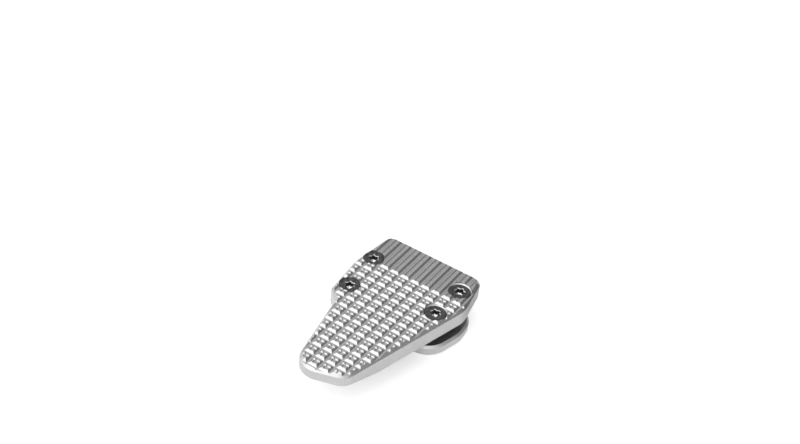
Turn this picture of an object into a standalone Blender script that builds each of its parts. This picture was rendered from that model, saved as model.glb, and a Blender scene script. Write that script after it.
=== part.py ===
"""Brake pedal extension: a toothed aluminium tread that four screws clamp onto a brake pedal's own pad.

Blender 4.5, metres, +Z up. X runs across the tread and +Y from its tip to its rear edge. The origin is
below the middle of the part, in the plane of the clamp plate's underside.
"""

import math

import bmesh
import bpy
from mathutils import Matrix, Vector

MM = 0.001

# Heights
TREAD_THICKNESS = 8.0 * MM
PAD_SLOT = 5.0 * MM
CLAMP_THICKNESS = 5.0 * MM

# Plan sizes. Everything that lies in plan is drawn in millimetres from the middle of the tooth pattern, and
# the drawing is stretched to this width and length.
TREAD_WIDTH = 51.72 * MM
TREAD_LENGTH = 86.72 * MM

# Tread outline as drawn, counter-clockwise from the rear right: x, y and radius of each corner
REAR_RIGHT = (23.6, 44.6, 4.5)
REAR_LEFT = (-22.4, 44.6, 4.0)
LEFT_SIDE = (-24.9, 22.0, 25.0)
SHOULDER = (-22.8, 1.0, 3.0)
NECK = (-17.4, -4.2, 1.2)
TIP_LEFT = (-9.3, -44.9, 8.6)
TIP_RIGHT = (11.5, -38.1, 6.5)
RIGHT_SIDE = (27.3, 24.4, 13.0)

# Tread edges
TOP_BEVEL = 1.5 * MM
LOWER_BEVEL = 0.3 * MM
TIP_CHAMFER = 2.5 * MM
CHAMFER_FADE = 14.0 * MM
LONGEST_EDGE = 6.0 * MM

# Teeth: grooves both ways, with only the lengthwise ones behind the last row of teeth. Each groove is a V
# with a narrow flat floor.
TOOTH_PITCH = 5.0 * MM
GROOVE_SLOPE = 45.0
GROOVE_DEPTH = 0.85 * MM
GROOVE_FLOOR = 0.6 * MM
LENGTHWISE_START = -0.25 * MM
LAST_CROSSWISE = 24.55 * MM
CUTTER_RISE = 0.4 * MM

# Screws, M5 countersunk with a six-lobe recess: plan position of each as drawn
FRONT_LEFT = (-17.9, 7.2)
FRONT_RIGHT = (18.5, 15.1)
REAR_LEFT_SCREW = (-19.6, 27.5)
REAR_RIGHT_SCREW = (19.5, 32.7)
THREAD_DIAMETER = 5.0 * MM
HEAD_DIAMETER = 9.0 * MM
HEAD_RIM = 0.35 * MM
HEAD_CONE = 45.0
HEAD_SINK = 0.9 * MM
TIP_SETBACK = 1.4 * MM
TIP_CONE = 0.6 * MM
RECESS_RADIUS = 1.93 * MM
RECESS_LOBE = 0.32 * MM
RECESS_DEPTH = 1.9 * MM
SCREW_CLEARANCE = 0.3 * MM

# Clamp plate outline as drawn: x, y and radius of each corner. Its right side bulges as the tread's does.
CLAMP_REAR_RIGHT = (26.0, 38.9, 10.0)
CLAMP_REAR_LEFT = (-24.4, 34.2, 6.0)
CLAMP_FRONT_LEFT = (-22.4, -0.4, 6.0)
CLAMP_FRONT_RIGHT = (23.7, 7.2, 11.0)
CLAMP_SIDE = (27.7, 23.2, 16.0)
CLAMP_BEVEL = 0.9 * MM

# Facets
ARC_STEP = math.radians(8)
ROUND_SIDES = 40
LOBE_SIDES = 8

clamp_top = CLAMP_THICKNESS
tread_underside = clamp_top + PAD_SLOT
tread_top = tread_underside + TREAD_THICKNESS
head_top = tread_top - HEAD_SINK


def material(name, colour, metallic, roughness):
    made = bpy.data.materials.new(name)
    made.use_nodes = True
    shader = made.node_tree.nodes["Principled BSDF"]
    shader.inputs["Base Color"].default_value = (*colour, 1)
    shader.inputs["Metallic"].default_value = metallic
    shader.inputs["Roughness"].default_value = roughness
    return made


def place(name, mesh, made_of=None, location=(0, 0, 0)):
    """A part with its material, or a cutter if it has none."""
    obj = bpy.data.objects.new(name, mesh)
    bpy.context.scene.collection.objects.link(obj)
    obj.parent = assembly
    obj.location = location
    if made_of:
        obj.data.materials.clear()
        obj.data.materials.append(made_of)
    else:
        obj.hide_render = True
        obj.display_type = "WIRE"
    return obj


def finished(name, bm):
    bmesh.ops.recalc_face_normals(bm, faces=bm.faces)
    mesh = bpy.data.meshes.new(name)
    bm.to_mesh(mesh)
    bm.free()
    return mesh


def cut(obj, cutter):
    boolean = obj.modifiers.new(cutter.name, "BOOLEAN")
    boolean.operation = "DIFFERENCE"
    boolean.solver = "EXACT"
    boolean.object = cutter


def rounded(corners):
    """The drawn outline through corners of (x, y, radius), counter-clockwise, as (point, outward normal) pairs."""
    outline = []
    for index, (x, y, radius) in enumerate(corners):
        corner = Vector((x, y))
        arriving = (corner - Vector(corners[index - 1][:2])).normalized()
        leaving = (Vector(corners[(index + 1) % len(corners)][:2]) - corner).normalized()
        turn = math.atan2(arriving.cross(leaving), arriving.dot(leaving))
        side = math.copysign(1, turn)
        start = corner - arriving * radius * math.tan(abs(turn) / 2)
        centre = start + Vector((-arriving.y, arriving.x)) * radius * side
        steps = max(2, math.ceil(abs(turn) / ARC_STEP))
        for step in range(steps + 1):
            spoke = Matrix.Rotation(turn * step / steps, 2) @ (start - centre)
            outline.append((centre + spoke, spoke.normalized() * side))
    return outline


def extent(outline, axis):
    values = [point[axis] for point, _ in outline]
    return max(values) - min(values)


def plan(position):
    """A drawn plan position in metres, stretched to the tread's width and length."""
    return Vector((position[0] * stretch_x, position[1] * stretch_y))


def stretched(outline):
    return [(plan(point), normal) for point, normal in outline]


def divided(outline):
    """The outline with its long straight edges divided, so that the tip's chamfer can fade along them."""
    points = []
    for index, (point, normal) in enumerate(outline):
        ahead, ahead_normal = outline[(index + 1) % len(outline)]
        pieces = max(1, math.ceil((ahead - point).length / LONGEST_EDGE))
        for piece in range(pieces):
            share = piece / pieces
            points.append((point.lerp(ahead, share), normal.lerp(ahead_normal, share).normalized()))
    return points


def slab(name, outline, rings):
    """A plate with this outline, from a function of each plan point that gives its (height, inset) rings."""
    bm = bmesh.new()
    columns = []
    for point, normal in outline:
        columns.append([bm.verts.new((*(point - normal * inset), height)) for height, inset in rings(point)])
    loops = list(zip(*columns))
    for lower, upper in zip(loops, loops[1:]):
        for index in range(len(outline)):
            following = (index + 1) % len(outline)
            bm.faces.new((lower[index], lower[following], upper[following], upper[index]))
    bm.faces.new(reversed(loops[0]))
    bm.faces.new(loops[-1])
    return finished(name, bm)


def add_prism(bm, section, sweep):
    """A bar: the section's points in space, swept along a vector."""
    near = [bm.verts.new(point) for point in section]
    far = [bm.verts.new(Vector(point) + sweep) for point in section]
    for index in range(len(section)):
        following = (index + 1) % len(section)
        bm.faces.new((near[index], near[following], far[following], far[index]))
    bm.faces.new(reversed(near))
    bm.faces.new(far)


def grooves(name, positions, across, start, length):
    """Groove cutters at these positions, measured along the vector `across`, each swept by `length`."""
    bm = bmesh.new()
    low = Vector((0, 0, tread_top - GROOVE_DEPTH))
    high = Vector((0, 0, tread_top + CUTTER_RISE))
    half_floor = GROOVE_FLOOR / 2
    half_mouth = half_floor + (GROOVE_DEPTH + CUTTER_RISE) / math.tan(math.radians(GROOVE_SLOPE))
    for position in positions:
        middle = start + across * position
        section = [
            middle - across * half_floor + low,
            middle + across * half_floor + low,
            middle + across * half_mouth + high,
            middle - across * half_mouth + high,
        ]
        add_prism(bm, section, length)
    return finished(name, bm)


def turned(name, profile):
    """A solid of revolution about Z, from (radius, height) points off the axis, bottom to top."""
    bm = bmesh.new()
    rings = []
    for radius, height in profile:
        ring = []
        for side in range(ROUND_SIDES):
            angle = math.tau * side / ROUND_SIDES
            ring.append(bm.verts.new((radius * math.cos(angle), radius * math.sin(angle), height)))
        rings.append(ring)
    for lower, upper in zip(rings, rings[1:]):
        for side in range(ROUND_SIDES):
            following = (side + 1) % ROUND_SIDES
            bm.faces.new((lower[side], lower[following], upper[following], upper[side]))
    bm.faces.new(reversed(rings[0]))
    bm.faces.new(rings[-1])
    mesh = finished(name, bm)
    mesh.shade_smooth()
    mesh.set_sharp_from_angle(angle=math.radians(30))
    return mesh


def six_lobe(name):
    """The driver recess: six rounded lobes, cut down from the head's top at z = 0."""
    bm = bmesh.new()
    count = 6 * LOBE_SIDES
    section = []
    for index in range(count):
        angle = math.tau * index / count
        radius = RECESS_RADIUS + RECESS_LOBE * math.cos(6 * angle)
        section.append(Vector((radius * math.cos(angle), radius * math.sin(angle), -RECESS_DEPTH)))
    add_prism(bm, section, Vector((0, 0, RECESS_DEPTH + HEAD_SINK)))
    return finished(name, bm)


def between(low, high, through, pitch):
    """Positions a pitch apart that include `through` and cover low to high."""
    first = math.ceil((low - through) / pitch)
    last = math.floor((high - through) / pitch)
    return [through + pitch * step for step in range(first, last + 1)]


for old in list(bpy.data.objects):
    bpy.data.objects.remove(old)

tread_drawn = rounded((REAR_RIGHT, REAR_LEFT, LEFT_SIDE, SHOULDER, NECK, TIP_LEFT, TIP_RIGHT, RIGHT_SIDE))
stretch_x = TREAD_WIDTH / extent(tread_drawn, 0)
stretch_y = TREAD_LENGTH / extent(tread_drawn, 1)
tread_outline = divided(stretched(tread_drawn))

screws = {
    "screw_front_left": plan(FRONT_LEFT),
    "screw_front_right": plan(FRONT_RIGHT),
    "screw_rear_left": plan(REAR_LEFT_SCREW),
    "screw_rear_right": plan(REAR_RIGHT_SCREW),
}

clamp_outline = stretched(
    rounded((CLAMP_REAR_RIGHT, CLAMP_REAR_LEFT, CLAMP_FRONT_LEFT, CLAMP_FRONT_RIGHT, CLAMP_SIDE))
)

xs = [point.x for point, _ in tread_outline + clamp_outline]
ys = [point.y for point, _ in tread_outline + clamp_outline]
assembly = bpy.data.objects.new("brake_pedal_extension", None)
bpy.context.scene.collection.objects.link(assembly)
assembly.location = (-(min(xs) + max(xs)) / 2, -(min(ys) + max(ys)) / 2, 0)

anodised = material("Silver anodised aluminium", (0.72, 0.73, 0.74), 1.0, 0.36)
blasted = material("Bead-blasted aluminium", (0.70, 0.71, 0.72), 1.0, 0.45)
blackened = material("Blackened steel", (0.09, 0.09, 0.10), 1.0, 0.38)

# The lower edge is chamfered round the tip, and the chamfer fades out along both sides behind it.
tip_back = plan(TIP_RIGHT).y + TIP_CHAMFER


def tread_rings(point):
    nearness = min(1, max(0, 1 - (point.y - tip_back) / CHAMFER_FADE))
    chamfer = LOWER_BEVEL + (TIP_CHAMFER - LOWER_BEVEL) * nearness
    return [
        (tread_underside, chamfer),
        (tread_underside + chamfer, 0),
        (tread_top - TOP_BEVEL, 0),
        (tread_top, TOP_BEVEL),
    ]


def clamp_rings(point):
    return [(0, CLAMP_BEVEL), (CLAMP_BEVEL, 0), (clamp_top - CLAMP_BEVEL, 0), (clamp_top, CLAMP_BEVEL)]


tread = place("tread_plate", slab("tread_plate", tread_outline, tread_rings), anodised)

# Grooves run out through the edges, so their cutters pass the outline by a pitch.
left, right = min(xs) - TOOTH_PITCH, max(xs) + TOOTH_PITCH
front, rear = min(ys) - TOOTH_PITCH, max(ys) + TOOTH_PITCH
lengthwise = grooves(
    "lengthwise_groove_cutter",
    between(left, right, LENGTHWISE_START, TOOTH_PITCH),
    Vector((1, 0, 0)),
    Vector((0, front, 0)),
    Vector((0, rear - front, 0)),
)
cut(tread, place("lengthwise_groove_cutter", lengthwise))
crosswise = grooves(
    "crosswise_groove_cutter",
    between(front, LAST_CROSSWISE, LAST_CROSSWISE, TOOTH_PITCH),
    Vector((0, 1, 0)),
    Vector((left, 0, 0)),
    Vector((right - left, 0, 0)),
)
cut(tread, place("crosswise_groove_cutter", crosswise))

clamp = place("clamp_plate", slab("clamp_plate", clamp_outline, clamp_rings), blasted)

# Screw profile, with z = 0 at the top of the head. The cone ends where it meets the thread.
shank = THREAD_DIAMETER / 2
head = HEAD_DIAMETER / 2
cone_run = math.tan(math.radians(HEAD_CONE))
cone_end = -HEAD_RIM - (head - shank) / cone_run
tip = TIP_SETBACK - head_top
screw_mesh = turned(
    "screw",
    [(shank - TIP_CONE, tip), (shank, tip + TIP_CONE), (shank, cone_end), (head, -HEAD_RIM), (head, 0)],
)

# The countersink keeps the head's cone, and a straight bore goes on from its rim up past the tops of the teeth.
bore = shank + SCREW_CLEARANCE
mouth = HEAD_SINK + CUTTER_RISE
sink_mesh = turned(
    "countersink_cutter",
    [
        (bore, tread_underside - head_top - PAD_SLOT / 2),
        (bore, cone_end),
        (head + SCREW_CLEARANCE, -HEAD_RIM),
        (head + SCREW_CLEARANCE, mouth),
    ],
)
thread_mesh = turned("thread_hole_cutter", [(bore, -clamp_top), (bore, clamp_top + PAD_SLOT / 2)])
recess_mesh = six_lobe("recess_cutter")

for name, position in screws.items():
    spot = (*position, head_top)
    screw = place(name, screw_mesh.copy(), blackened, spot)
    cut(screw, place(name + "_recess_cutter", recess_mesh, location=spot))
    cut(tread, place(name + "_countersink_cutter", sink_mesh, location=spot))
    cut(clamp, place(name + "_thread_cutter", thread_mesh, location=(*position, 0)))
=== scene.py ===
"""Looks of the brake pedal extension: machined silver aluminium and blackened screws on a white floor."""

import math

import bmesh
import bpy
from mathutils import Matrix, Vector


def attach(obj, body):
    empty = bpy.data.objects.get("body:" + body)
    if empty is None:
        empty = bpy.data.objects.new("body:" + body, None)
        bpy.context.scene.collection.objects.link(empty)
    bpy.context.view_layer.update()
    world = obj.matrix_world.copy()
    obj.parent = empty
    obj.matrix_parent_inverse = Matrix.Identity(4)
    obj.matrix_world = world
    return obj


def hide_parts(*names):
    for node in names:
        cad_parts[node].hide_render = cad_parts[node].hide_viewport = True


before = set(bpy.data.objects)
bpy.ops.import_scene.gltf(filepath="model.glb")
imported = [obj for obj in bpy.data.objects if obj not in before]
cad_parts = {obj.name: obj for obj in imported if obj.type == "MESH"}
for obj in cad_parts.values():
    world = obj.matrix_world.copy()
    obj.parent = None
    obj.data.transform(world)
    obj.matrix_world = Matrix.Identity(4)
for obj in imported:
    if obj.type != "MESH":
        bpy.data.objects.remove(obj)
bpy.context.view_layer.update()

MM = 0.001
X = Vector((1, 0, 0))
Y = Vector((0, 1, 0))

# Plan positions below are in millimetres from the middle of the tooth pattern, as in the model's own source.
PATTERN_ORIGIN = Vector((-1.361, -1.148, 0))

# Plates: outline corners as (x, y, radius), counter-clockwise, then heights and edges
TREAD_CORNERS = (
    (23.58, 44.51, 4.5),
    (-22.38, 44.51, 4.0),
    (-24.88, 21.96, 25.0),
    (-22.78, 1.0, 3.0),
    (-17.39, -4.19, 1.2),
    (-9.29, -44.79, 8.6),
    (11.49, -38.02, 6.5),
    (27.28, 24.35, 13.0),
)
CLAMP_CORNERS = (
    (25.98, 38.82, 10.0),
    (-24.38, 34.13, 6.0),
    (-22.38, -0.4, 6.0),
    (23.68, 7.19, 11.0),
    (27.68, 23.15, 16.0),
)
CLAMP_TOP = 5.0
TREAD_UNDERSIDE = 10.0
TREAD_TOP = 18.0
TOP_BEVEL = 1.5
LOWER_BEVEL = 0.3
# The tip's lower chamfer fades into the lower bevel over this length behind TIP_BACK
TIP_CHAMFER = 2.5
TIP_BACK = -35.52
CHAMFER_FADE = 14.0
LONGEST_EDGE = 3.0
# The walls stand this far inside the model's, so that its box still holds them
GRAZE = 0.012
# The clamp plate's edge as (height, inset)
CLAMP_EDGE = ((0, 0.98), (0.06, 0.87), (0.87, 0.06), (0.98, GRAZE))
FACING_UP = 0.99
SMOOTH_ANGLE = math.radians(14)

# Grooves, one pitch apart: (middle of one of them, depth, half width of its floor, chamfer of its edges).
# Then the limits that they lie between, and where the deep ones begin and end behind the middle of a row.
PITCH = 5.0
LENGTHWISE = (-0.22, 0.84, 0.33, 0.06)
LENGTHWISE_FINE = (2.12, 0.12, 0.19, 0.03)
LENGTHWISE_FINE_DEEP = (2.12, 0.36, 0.19, 0.03)
CROSSWISE = (24.53, 0.85, 0.25, 0.03)
CROSSWISE_FINE = (22.43, 0.35, 0.03, 0.03)
ACROSS_TREAD = (-30, 32)
ALONG_TREAD = (-50, 50)
ALONG_TEETH = (-50, 25)
LAST_ROW = 24.55
DEEP_START = 1.25
DEEP_END = 4.0
DEEP_RUN_OUT = 31.25

# Screws: places in plan, then the radii and heights that all four share
SCREWS = {
    "screw_front_left": (-17.887, 7.185),
    "screw_front_right": (18.487, 15.069),
    "screw_rear_left": (-19.586, 27.443),
    "screw_rear_right": (19.486, 32.633),
}
HEAD_TOP = 17.1
HEAD_RADIUS = 4.4
CONE_TOP = HEAD_TOP - 0.38
CONE_BOTTOM = HEAD_TOP - 2.28
SHANK_RADIUS = 2.5
SHANK_TIP = 1.4
THREAD_ROOT = 2.12
THREAD_PITCH = 0.8
THREAD_START = 2.0
THREAD_END = HEAD_TOP - 3.6

# Bores: the cone seat's rim as (out from the seat, up from the head's top), crisp or widely broken
SEAT_RADIUS = 4.5
SEAT_SIDES = 72
BORE_RADIUS = 2.6
TAPPED_RADIUS = 2.52
CRISP_RIM = ((0.0, -0.05), (0.0, 0.76), (0.14, 0.9), (0.44, 1.2))
WIDE_RIM = ((0.0, -0.3), (0.5, 0.2), (0.6, 0.8), (0.7, 0.9), (1.0, 1.2))
BORE_RIMS = {
    "screw_front_left": CRISP_RIM,
    "screw_front_right": WIDE_RIM,
    "screw_rear_left": CRISP_RIM,
    "screw_rear_right": WIDE_RIM,
}

# Recesses: levels as (height, mean radius, lobe), then how far each is turned in degrees
RECESS_LEVELS = (
    (HEAD_TOP - 1.76, 1.25, 0.2),
    (HEAD_TOP - 1.7, 1.93, 0.32),
    (HEAD_TOP - 0.16, 1.93, 0.32),
    (HEAD_TOP + 0.02, 2.11, 0.32),
    (HEAD_TOP + 0.4, 2.11, 0.32),
)
RECESS_BOTTOM = HEAD_TOP - 2.8
RECESS_TURNS = {"screw_front_left": -2, "screw_front_right": 9, "screw_rear_left": 2, "screw_rear_right": 24}
RECESS_SIDES = 96
# Worn, and brightened as painted glints, are the faces this near a screw's axis and its head's top, with an
# upward tilt between these limits
WORN_AND_GLINT_REACH = 2.45
WORN_AND_GLINT_DEPTH = 2.6
WORN_AND_GLINT_TILT = (0.3, 0.9)


def new_object(name, bm):
    """The bmesh as an object in metres, with the tooth pattern's origin put where the model has it."""
    bmesh.ops.recalc_face_normals(bm, faces=bm.faces)
    bm.transform(Matrix.Scale(MM, 4) @ Matrix.Translation(PATTERN_ORIGIN))
    mesh = bpy.data.meshes.new(name)
    bm.to_mesh(mesh)
    bm.free()
    obj = bpy.data.objects.new(name, mesh)
    bpy.context.scene.collection.objects.link(obj)
    return obj


def rounded(corners, step=math.radians(4)):
    """(point, outward normal) pairs along the outline through the corners, with an arc in each of them."""
    outline = []
    for index, (x, y, radius) in enumerate(corners):
        corner = Vector((x, y))
        arriving = (corner - Vector(corners[index - 1][:2])).normalized()
        leaving = (Vector(corners[(index + 1) % len(corners)][:2]) - corner).normalized()
        turn = math.atan2(arriving.cross(leaving), arriving.dot(leaving))
        side = math.copysign(1, turn)
        start = corner - arriving * radius * math.tan(abs(turn) / 2)
        centre = start + Vector((-arriving.y, arriving.x)) * radius * side
        steps = max(3, math.ceil(abs(turn) / step))
        for count in range(steps + 1):
            spoke = Matrix.Rotation(turn * count / steps, 2) @ (start - centre)
            outline.append((centre + spoke, spoke.normalized() * side))
    return outline


def divided(outline):
    """The outline with its long straight edges divided, so that a chamfer can fade along them."""
    points = []
    for index, (point, normal) in enumerate(outline):
        ahead, ahead_normal = outline[(index + 1) % len(outline)]
        pieces = max(1, math.ceil((ahead - point).length / LONGEST_EDGE))
        for piece in range(pieces):
            share = piece / pieces
            points.append((point.lerp(ahead, share), normal.lerp(ahead_normal, share).normalized()))
    return points


def bridge(bm, lower, upper):
    """A band of quads between two closed loops of vertices."""
    for index in range(len(lower)):
        following = (index + 1) % len(lower)
        bm.faces.new((lower[index], lower[following], upper[following], upper[index]))


def capped(bm, loops):
    """Closes a stack of vertex loops, bottom to top, into a solid."""
    for lower, upper in zip(loops, loops[1:]):
        bridge(bm, lower, upper)
    bm.faces.new(reversed(loops[0]))
    bm.faces.new(loops[-1])


def slab(outline, rings):
    """A plate with this outline, from a function of each plan point that gives its (height, inset) rings."""
    bm = bmesh.new()
    columns = []
    for point, normal in outline:
        columns.append([bm.verts.new((*(point - normal * inset), height)) for height, inset in rings(point)])
    capped(bm, list(zip(*columns)))
    return bm


def circle(at, radius, height, sides):
    """Points of a level circle around a plan position."""
    angles = [math.tau * side / sides for side in range(sides)]
    return [(at[0] + radius * math.cos(angle), at[1] + radius * math.sin(angle), height) for angle in angles]


def turned(profile, at, sides=64):
    """A solid of revolution from (radius, height) points, bottom to top, standing at a plan position."""
    bm = bmesh.new()
    capped(bm, [[bm.verts.new(point) for point in circle(at, *level, sides)] for level in profile])
    return bm


def cut(obj, cutters, materials):
    """Subtracts the cutters one after another, and gives the result its materials and shading."""
    for material in materials:
        obj.data.materials.append(material)
    for cutter in cutters:
        boolean = obj.modifiers.new(cutter.name, "BOOLEAN")
        boolean.operation = "DIFFERENCE"
        boolean.solver = "EXACT"
        boolean.object = cutter
    bpy.context.view_layer.update()
    evaluated = obj.evaluated_get(bpy.context.evaluated_depsgraph_get())
    mesh = bpy.data.meshes.new_from_object(evaluated)
    obj.modifiers.clear()
    obj.data = mesh
    mesh.shade_smooth()
    mesh.set_sharp_from_angle(angle=SMOOTH_ANGLE)
    for cutter in cutters:
        bpy.data.objects.remove(cutter)


# Materials


def add_node(nodes, kind, numbers=None, **settings):
    """A new node with its settings, and with the numbers that stand on its unlinked inputs."""
    made = nodes.new(kind)
    for setting, value in settings.items():
        setattr(made, setting, value)
    for socket, value in (numbers or {}).items():
        made.inputs[socket].default_value = value
    return made


def node_material(name, numbers):
    """A material, its nodes and links, and its shader with these numbers on its inputs."""
    made = bpy.data.materials.new(name)
    made.use_nodes = True
    nodes = made.node_tree.nodes
    shader = nodes["Principled BSDF"]
    for socket, value in numbers.items():
        shader.inputs[socket].default_value = value
    return made, nodes, made.node_tree.links, shader


def metal(name, dark, light, roughness, relief, cloud=(90, 3, 0.5), grain_scale=3200, grain_height=6e-5):
    """Metal that clouds between a dark and a light tone, with fine grain in its roughness and relief."""
    made, nodes, links, shader = node_material(name, {"Metallic": 1.0})
    place = nodes.new("ShaderNodeTexCoord").outputs["Object"]

    def noise(scale, detail, rough):
        fog = add_node(nodes, "ShaderNodeTexNoise", {"Scale": scale, "Detail": detail, "Roughness": rough})
        links.new(place, fog.inputs["Vector"])
        return fog.outputs["Fac"]

    tone = nodes.new("ShaderNodeValToRGB")
    for element, position, colour in zip(tone.color_ramp.elements, (0.3, 0.7), (dark, light)):
        element.position = position
        element.color = (*colour, 1)
    links.new(noise(*cloud), tone.inputs["Fac"])
    links.new(tone.outputs["Color"], shader.inputs["Base Color"])

    grain = noise(grain_scale, 2, 0.6)
    low, high = roughness
    numbers = {"From Min": 0.3, "From Max": 0.7, "To Min": low, "To Max": high}
    spread = add_node(nodes, "ShaderNodeMapRange", numbers)
    links.new(grain, spread.inputs["Value"])
    links.new(spread.outputs["Result"], shader.inputs["Roughness"])
    bump = add_node(nodes, "ShaderNodeBump", {"Distance": grain_height, "Strength": relief})
    links.new(grain, bump.inputs["Height"])
    links.new(bump.outputs["Normal"], shader.inputs["Normal"])
    return made


blasted = metal("blasted aluminium", (0.62, 0.62, 0.625), (0.68, 0.68, 0.685), (0.32, 0.44), 0.35)
# Painted shade: the clamp's top face is darkened to stand for the shade in the slot between the two plates
painted_slot_shade = metal("aluminium with painted slot shade", (0.2, 0.2, 0.205), (0.32, 0.32, 0.325), (0.4, 0.55), 0.35)
anodised = metal("anodised aluminium", (0.55, 0.55, 0.554), (0.60, 0.60, 0.604), (0.22, 0.34), 0.3)
blackened = metal(
    "blackened steel",
    (0.045, 0.045, 0.047),
    (0.17, 0.17, 0.173),
    (0.3, 0.44),
    0.3,
    cloud=(900, 5, 0.6),
    grain_scale=2600,
    grain_height=5e-5,
)
# Partly real wear, partly painted highlight: bare steel made bright so that the recess bevels and drilled
# middles glint
worn_steel_and_glint = metal("steel worn by the driver, brightened for painted glints", (0.74, 0.74, 0.74), (0.9, 0.9, 0.9), (0.18, 0.3), 0.15)


# Tread: the same plate as the model's, with the fine grooves and broken edges that it leaves out


def spaced(through, low, high):
    """Places one pitch apart between low and high, of which `through` is one."""
    first = math.ceil((low - through) / PITCH)
    last = math.floor((high - through) / PITCH)
    return [through + PITCH * step for step in range(first, last + 1)]


def groove_cutter(name, groove, across, places, along, reach):
    """V grooves with flat floors and chamfered edges, from their places across and their reach along."""
    middle, depth, floor, broken = groove
    half = depth - broken + floor
    # (half width, height above the tread's top)
    section = (
        (floor, -depth),
        (half, -broken),
        (half + 2 * broken, 0.0),
        (half + 2 * broken + 0.25, 0.3),
    )
    outline = [(-x, z) for x, z in reversed(section)] + list(section)
    start, end = reach
    bm = bmesh.new()
    for centre in spaced(middle, *places):
        points = [along * start + across * (centre + x) + Vector((0, 0, TREAD_TOP + z)) for x, z in outline]
        near = [bm.verts.new(point) for point in points]
        far = [bm.verts.new(point + along * (end - start)) for point in points]
        capped(bm, [near, far])
    return new_object(name, bm)


def tread_rings(point):
    """The tread's wall: a lower chamfer that grows towards the tip and a top bevel, both with eased edges."""
    nearness = min(1, max(0, 1 - (point.y - TIP_BACK) / CHAMFER_FADE))
    chamfer = LOWER_BEVEL + (TIP_CHAMFER - LOWER_BEVEL) * nearness
    return (
        (TREAD_UNDERSIDE, chamfer + 0.08),
        (TREAD_UNDERSIDE + 0.08, chamfer - 0.04),
        (TREAD_UNDERSIDE + chamfer - 0.1, 0.08),
        (TREAD_UNDERSIDE + chamfer + 0.12, GRAZE),
        (TREAD_TOP - TOP_BEVEL - 0.12, GRAZE),
        (TREAD_TOP - TOP_BEVEL + 0.05, 0.09),
        (TREAD_TOP - 0.05, TOP_BEVEL - 0.03),
        (TREAD_TOP - GRAZE, TOP_BEVEL + 0.12),
    )


def sink_profile(rim):
    """The bore, cone seat and rim that a screw needs in the tread."""
    bore = [
        (BORE_RADIUS, TREAD_UNDERSIDE - 1),
        (BORE_RADIUS, CONE_BOTTOM),
        (SEAT_RADIUS, CONE_TOP),
    ]
    return bore + [(SEAT_RADIUS + out, HEAD_TOP + up) for out, up in rim]


tread = new_object("tread", slab(divided(rounded(TREAD_CORNERS)), tread_rings))
lengthwise = (X, ACROSS_TREAD, Y, ALONG_TREAD)
crosswise = (Y, ALONG_TEETH, X, ACROSS_TREAD)
cutters = [
    groove_cutter("lengthwise", LENGTHWISE, *lengthwise),
    groove_cutter("lengthwise_fine", LENGTHWISE_FINE, *lengthwise),
    groove_cutter("crosswise", CROSSWISE, *crosswise),
    groove_cutter("crosswise_fine", CROSSWISE_FINE, *crosswise),
]
# The fine lengthwise grooves are deeper behind each crosswise groove, but stop short of the teeth's fronts.
# Behind the last row they run out over the rear edge.
for row in spaced(LAST_ROW, *ALONG_TEETH):
    reach = (row + DEEP_START, row + (DEEP_RUN_OUT if row == LAST_ROW else DEEP_END))
    name = "lengthwise_fine_%d" % round(row)
    cutters.append(groove_cutter(name, LENGTHWISE_FINE_DEEP, X, ACROSS_TREAD, Y, reach))
for name, at in SCREWS.items():
    cutters.append(new_object(name + "_sink", turned(sink_profile(BORE_RIMS[name]), at, SEAT_SIDES)))
cut(tread, cutters, [anodised])
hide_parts("tread_plate")
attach(tread, "root")


# Clamp plate: tapped for the screws, and darkened on its top face, the face that the pad lies on, as painted
# shade of the slot between the plates


def clamp_rings(point):
    """The clamp plate's wall, the same all round: its edge below and the same edge upside down above."""
    return CLAMP_EDGE + tuple((CLAMP_TOP - height, inset) for height, inset in reversed(CLAMP_EDGE))


clamp = new_object("clamp", slab(rounded(CLAMP_CORNERS), clamp_rings))
tapped = [(TAPPED_RADIUS, -1), (TAPPED_RADIUS, CLAMP_TOP + 1)]
cutters = [new_object(name + "_tapped", turned(tapped, at)) for name, at in SCREWS.items()]
cut(clamp, cutters, [blasted, painted_slot_shade])
# The clamp's upward faces take the painted slot shade
for face in clamp.data.polygons:
    if face.normal.z > FACING_UP:
        face.material_index = 1
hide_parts("clamp_plate")
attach(clamp, "root")


# Screws: threaded shank, flat head with broken rim, six-lobe recess with a drilled middle


def screw_profile():
    """(radius, height) points of the thread, the cone head and its rim, bottom to top."""
    thread = [(SHANK_RADIUS - 0.6, SHANK_TIP)]
    crest = THREAD_START
    while crest < THREAD_END:
        thread += [
            (SHANK_RADIUS, crest - 0.05),
            (SHANK_RADIUS, crest + 0.05),
            (THREAD_ROOT, crest + 0.33),
            (THREAD_ROOT, crest + 0.47),
        ]
        crest += THREAD_PITCH
    return thread + [
        (SHANK_RADIUS, crest),
        (SHANK_RADIUS, CONE_BOTTOM - 0.06),
        (HEAD_RADIUS - 0.06, CONE_TOP - 0.06),
        (HEAD_RADIUS, CONE_TOP),
        (HEAD_RADIUS, HEAD_TOP - 0.12),
        (HEAD_RADIUS - 0.04, HEAD_TOP - 0.03),
        (HEAD_RADIUS - 0.14, HEAD_TOP),
    ]


def lobed(at, height, mean, lobe, turn):
    """Points of a six-lobe outline around its mean radius, with its lobes turned by `turn` degrees."""
    points = []
    for index in range(RECESS_SIDES):
        angle = math.tau * index / RECESS_SIDES
        radius = mean + lobe * math.cos(6 * (angle - math.radians(turn)))
        points.append((at[0] + radius * math.cos(angle), at[1] + radius * math.sin(angle), height))
    return points


def recess_cutter(name, at, turn):
    """The driver's recess: a rim broken by a small bevel, straight walls and a drilled middle."""
    bm = bmesh.new()
    loops = [[bm.verts.new(point) for point in lobed(at, *level, turn)] for level in RECESS_LEVELS]
    for lower, upper in zip(loops, loops[1:]):
        bridge(bm, lower, upper)
    bm.faces.new(loops[-1])
    bottom = bm.verts.new((*at, RECESS_BOTTOM))
    for index in range(RECESS_SIDES):
        bm.faces.new((bottom, loops[0][(index + 1) % RECESS_SIDES], loops[0][index]))
    return new_object(name, bm)


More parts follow.
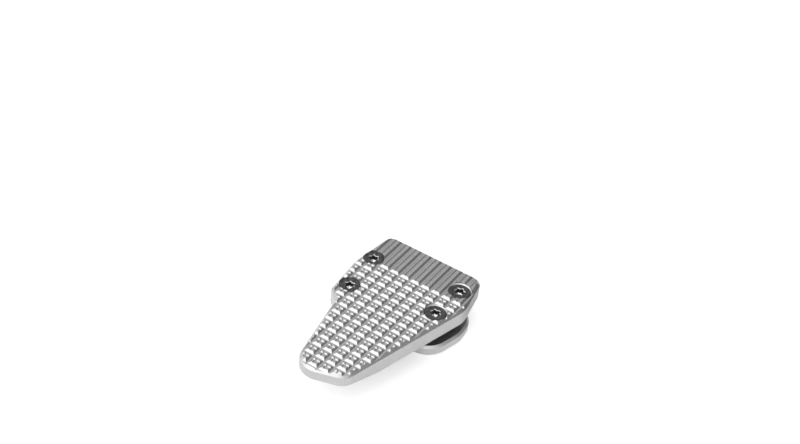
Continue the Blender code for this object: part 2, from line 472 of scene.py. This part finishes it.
def wear_and_glint(screw, at):
    """Puts the worn steel, made bright as a painted highlight, where a driver rubs: on the recess's rim bevel
    and on its drilled middle.
    """
    for face in screw.data.polygons:
        centre = face.center / MM - PATTERN_ORIGIN
        reach = math.hypot(centre.x - at[0], centre.y - at[1])
        tilted = WORN_AND_GLINT_TILT[0] < abs(face.normal.z) < WORN_AND_GLINT_TILT[1]
        if reach < WORN_AND_GLINT_REACH and tilted and centre.z > HEAD_TOP - WORN_AND_GLINT_DEPTH:
            face.material_index = 1


for name, at in SCREWS.items():
    screw = new_object(name + "_detailed", turned(screw_profile(), at))
    cut(screw, [recess_cutter(name + "_recess", at, RECESS_TURNS[name])], [blackened, worn_steel_and_glint])
    wear_and_glint(screw, at)
    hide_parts(name)
    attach(screw, "root")

# Floor: lifted to white for the camera, less in mirrors, and darker in mirrors behind the right rear corner
SEEN_LIFT = 0.45
MIRRORED_LIFT = 0.18
FLOOR_TONE = (0.8, 0.8, 0.8, 1)
PATCH_TONE = (0.46, 0.46, 0.46, 1)
PATCH_AT = (0.032, 0.062, 0.0)
PATCH_INNER = 0.02
PATCH_OUTER = 0.034
floor_bm = bmesh.new()
bmesh.ops.create_grid(floor_bm, x_segments=1, y_segments=1, size=3.0)
floor_mesh = bpy.data.meshes.new("floor")
floor_bm.to_mesh(floor_mesh)
floor_bm.free()
floor = bpy.data.objects.new("floor", floor_mesh)
bpy.context.scene.collection.objects.link(floor)
paper, nodes, links, shader = node_material(
    "floor",
    {"Metallic": 0.0, "Roughness": 0.9, "Specular IOR Level": 0.0, "Emission Color": (1, 1, 1, 1)},
)
path = nodes.new("ShaderNodeLightPath")
mirrored = add_node(nodes, "ShaderNodeMath", {1: MIRRORED_LIFT}, operation="MULTIPLY")
links.new(path.outputs["Is Glossy Ray"], mirrored.inputs[0])
lift = add_node(nodes, "ShaderNodeMath", {1: SEEN_LIFT}, operation="MULTIPLY_ADD")
links.new(path.outputs["Is Camera Ray"], lift.inputs[0])
links.new(mirrored.outputs["Value"], lift.inputs[2])
links.new(lift.outputs["Value"], shader.inputs["Emission Strength"])
away = add_node(nodes, "ShaderNodeVectorMath", {1: PATCH_AT}, operation="DISTANCE")
links.new(nodes.new("ShaderNodeTexCoord").outputs["Object"], away.inputs[0])
fade = {"From Min": PATCH_INNER, "From Max": PATCH_OUTER, "To Min": 1, "To Max": 0}
patch = add_node(nodes, "ShaderNodeMapRange", fade)
links.new(away.outputs["Value"], patch.inputs["Value"])
mirrored_patch = add_node(nodes, "ShaderNodeMath", operation="MULTIPLY")
links.new(patch.outputs["Result"], mirrored_patch.inputs[0])
links.new(path.outputs["Is Glossy Ray"], mirrored_patch.inputs[1])
tone = add_node(nodes, "ShaderNodeMix", {"A": FLOOR_TONE, "B": PATCH_TONE}, data_type="RGBA")
links.new(mirrored_patch.outputs["Value"], tone.inputs["Factor"])
links.new(tone.outputs["Result"], shader.inputs["Base Color"])
floor_mesh.materials.append(paper)

# World: white for the camera, and for the light a soft studio that is bright to the front left.
# Its levels are (share of the way from the dark side to the bright side, strength).
# The curve node holds values up to 1, so the levels are divided by the curve's scale and multiplied again.
BRIGHT_SIDE = Vector((-0.35, -0.72, 0.6)).normalized()
STUDIO_LEVELS = ((0.0, 0.05), (0.22, 0.16), (0.5, 0.6), (0.75, 1.1), (1.0, 1.6))
CURVE_SCALE = 2
world = bpy.data.worlds.new("studio")
bpy.context.scene.world = world
world.use_nodes = True
nodes, links = world.node_tree.nodes, world.node_tree.links
facing = add_node(nodes, "ShaderNodeVectorMath", {1: BRIGHT_SIDE}, operation="DOT_PRODUCT")
links.new(nodes.new("ShaderNodeTexCoord").outputs["Generated"], facing.inputs[0])
share = add_node(nodes, "ShaderNodeMapRange", {"From Min": -1, "From Max": 1})
links.new(facing.outputs["Value"], share.inputs["Value"])
levels = nodes.new("ShaderNodeFloatCurve")
curve = levels.mapping.curves[0]
held = [(along, level / CURVE_SCALE) for along, level in STUDIO_LEVELS]
curve.points[0].location = held[0]
curve.points[1].location = held[-1]
for along, level in held[1:-1]:
    curve.points.new(along, level)
levels.mapping.update()
links.new(share.outputs["Result"], levels.inputs["Value"])
studio = add_node(nodes, "ShaderNodeMath", {1: CURVE_SCALE}, operation="MULTIPLY")
links.new(levels.outputs["Value"], studio.inputs[0])
backdrop = add_node(nodes, "ShaderNodeMix", {"B": (1, 1, 1, 1)}, data_type="RGBA")
links.new(nodes.new("ShaderNodeLightPath").outputs["Is Camera Ray"], backdrop.inputs["Factor"])
links.new(studio.outputs["Value"], backdrop.inputs["A"])
links.new(backdrop.outputs["Result"], nodes["Background"].inputs["Color"])


# Lamps: two soft panels that face the part

LAMP_TARGET = Vector((0, 0.01, 0.012))


def area_light(name, towards, distance, size, power):
    """A soft panel in the direction `towards`, facing the part."""
    lamp = bpy.data.lights.new(name, "AREA")
    lamp.shape = "RECTANGLE"
    lamp.size, lamp.size_y = size
    lamp.energy = power
    obj = bpy.data.objects.new(name, lamp)
    direction = Vector(towards).normalized()
    obj.location = LAMP_TARGET + direction * distance
    obj.rotation_euler = direction.to_track_quat("Z", "Y").to_euler()
    bpy.context.scene.collection.objects.link(obj)


area_light("front softbox", (-0.36, -0.66, 0.66), 0.9, (0.8, 0.6), 0.6)
area_light("overhead", (0.1, 0.2, 1.0), 1.0, (0.6, 0.6), 0.5)

# Camera: found from the square lattice of the teeth
CAMERA_AT = Vector((193.2, -353.3, 381.7)) + PATTERN_ORIGIN
LOOKING = Vector((-0.3686, 0.6933, -0.6192))
ROLL = math.radians(7.62)
HALF_PIXEL = 0.5 / 800
camera_data = bpy.data.cameras.new("camera")
camera_data.lens = 61.24
camera_data.sensor_width = 36
camera_data.clip_start = 0.01
camera_data.shift_x = -HALF_PIXEL
camera_data.shift_y = HALF_PIXEL
camera = bpy.data.objects.new("camera", camera_data)
camera.location = CAMERA_AT * MM
camera.rotation_mode = "QUATERNION"
camera.rotation_quaternion = LOOKING.to_track_quat("-Z", "Y") @ Matrix.Rotation(ROLL, 3, "Z").to_quaternion()
bpy.context.scene.collection.objects.link(camera)
bpy.context.scene.camera = camera
bpy.context.scene.view_settings.view_transform = "Standard"
